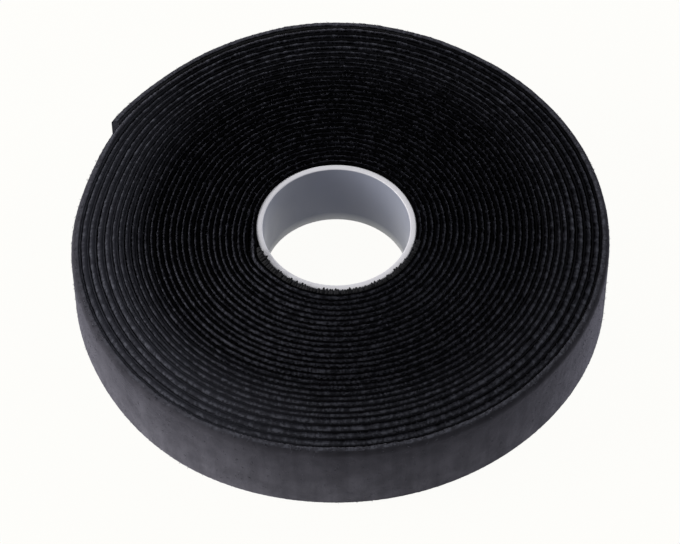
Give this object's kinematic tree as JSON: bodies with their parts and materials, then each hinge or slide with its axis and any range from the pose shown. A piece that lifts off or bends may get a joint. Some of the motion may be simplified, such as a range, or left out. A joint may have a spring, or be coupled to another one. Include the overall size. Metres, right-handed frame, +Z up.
{
  "type": "hook and loop tape roll",
  "caption": "Black back-to-back hook and loop fastening tape wound in a flat spiral on a pale plastic core, with a free end that peels up to be cut to length.",
  "frame": {"origin": "on the roll's axis, at the surface that the roll lies flat on", "axes": "+Z up along the roll's axis, +X to the right and +Y away from the viewer in the picture"},
  "size_m": [0.1201, 0.1213, 0.02],
  "materials": {
    "core_plastic": "smooth pale moulded plastic, satin",
    "starter_adhesive": "pale double-sided adhesive",
    "hook_film": "black moulded film with rows of hooks",
    "loop_pile": "black napped loop pile"
  },
  "bodies": {
    "roll": {"core": "core_plastic", "starter_pad": "starter_adhesive", "hook_layer_winding": "hook_film", "loop_layer_winding": "loop_pile"},
    "tail_1": {"tail_1_hook_layer": "hook_film", "tail_1_loop_layer": "loop_pile"},
    "tail_2": {"tail_2_hook_layer": "hook_film", "tail_2_loop_layer": "loop_pile"},
    "tail_3": {"tail_3_hook_layer": "hook_film", "tail_3_loop_layer": "loop_pile"},
    "tail_4": {"tail_4_hook_layer": "hook_film", "tail_4_loop_layer": "loop_pile"},
    "tail_5": {"tail_5_hook_layer": "hook_film", "tail_5_loop_layer": "loop_pile"},
    "tail_6": {"tail_6_hook_layer": "hook_film", "tail_6_loop_layer": "loop_pile"},
    "tail_7": {"tail_7_hook_layer": "hook_film", "tail_7_loop_layer": "loop_pile"},
    "tail_8": {"tail_8_hook_layer": "hook_film", "tail_8_loop_layer": "loop_pile"}
  },
  "joints": [
    {"name": "tail_bend_1", "type": "hinge", "parent": "roll", "child": "tail_1", "pos_m": [0.01374, 0.05952, 0.01], "axis": [0, 0, -1], "range_deg": [0, 30]},
    {"name": "tail_bend_2", "type": "hinge", "parent": "tail_1", "child": "tail_2", "pos_m": [0.00426, 0.06098, 0.01], "axis": [0, 0, -1], "range_deg": [0, 30]},
    {"name": "tail_bend_3", "type": "hinge", "parent": "tail_2", "child": "tail_3", "pos_m": [-0.00533, 0.06094, 0.01], "axis": [0, 0, -1], "range_deg": [0, 30]},
    {"name": "tail_bend_4", "type": "hinge", "parent": "tail_3", "child": "tail_4", "pos_m": [-0.01481, 0.0594, 0.01], "axis": [0, 0, -1], "range_deg": [0, 30]},
    {"name": "tail_bend_5", "type": "hinge", "parent": "tail_4", "child": "tail_5", "pos_m": [-0.02394, 0.05639, 0.01], "axis": [0, 0, -1], "range_deg": [0, 30]},
    {"name": "tail_bend_6", "type": "hinge", "parent": "tail_5", "child": "tail_6", "pos_m": [-0.03248, 0.05199, 0.01], "axis": [0, 0, -1], "range_deg": [0, 30]},
    {"name": "tail_bend_7", "type": "hinge", "parent": "tail_6", "child": "tail_7", "pos_m": [-0.04029, 0.04636, 0.01], "axis": [0, 0, -1], "range_deg": [0, 30]},
    {"name": "tail_bend_8", "type": "hinge", "parent": "tail_7", "child": "tail_8", "pos_m": [-0.04739, 0.03976, 0.01], "axis": [0, 0, -1], "range_deg": [0, 30]}
  ],
  "couplings": [
    {"joint": "tail_bend_2", "follows": "tail_bend_1", "ratio": 1},
    {"joint": "tail_bend_3", "follows": "tail_bend_1", "ratio": 1},
    {"joint": "tail_bend_4", "follows": "tail_bend_1", "ratio": 1},
    {"joint": "tail_bend_5", "follows": "tail_bend_1", "ratio": 1},
    {"joint": "tail_bend_6", "follows": "tail_bend_1", "ratio": 1},
    {"joint": "tail_bend_7", "follows": "tail_bend_1", "ratio": 1},
    {"joint": "tail_bend_8", "follows": "tail_bend_1", "ratio": 1}
  ]
}
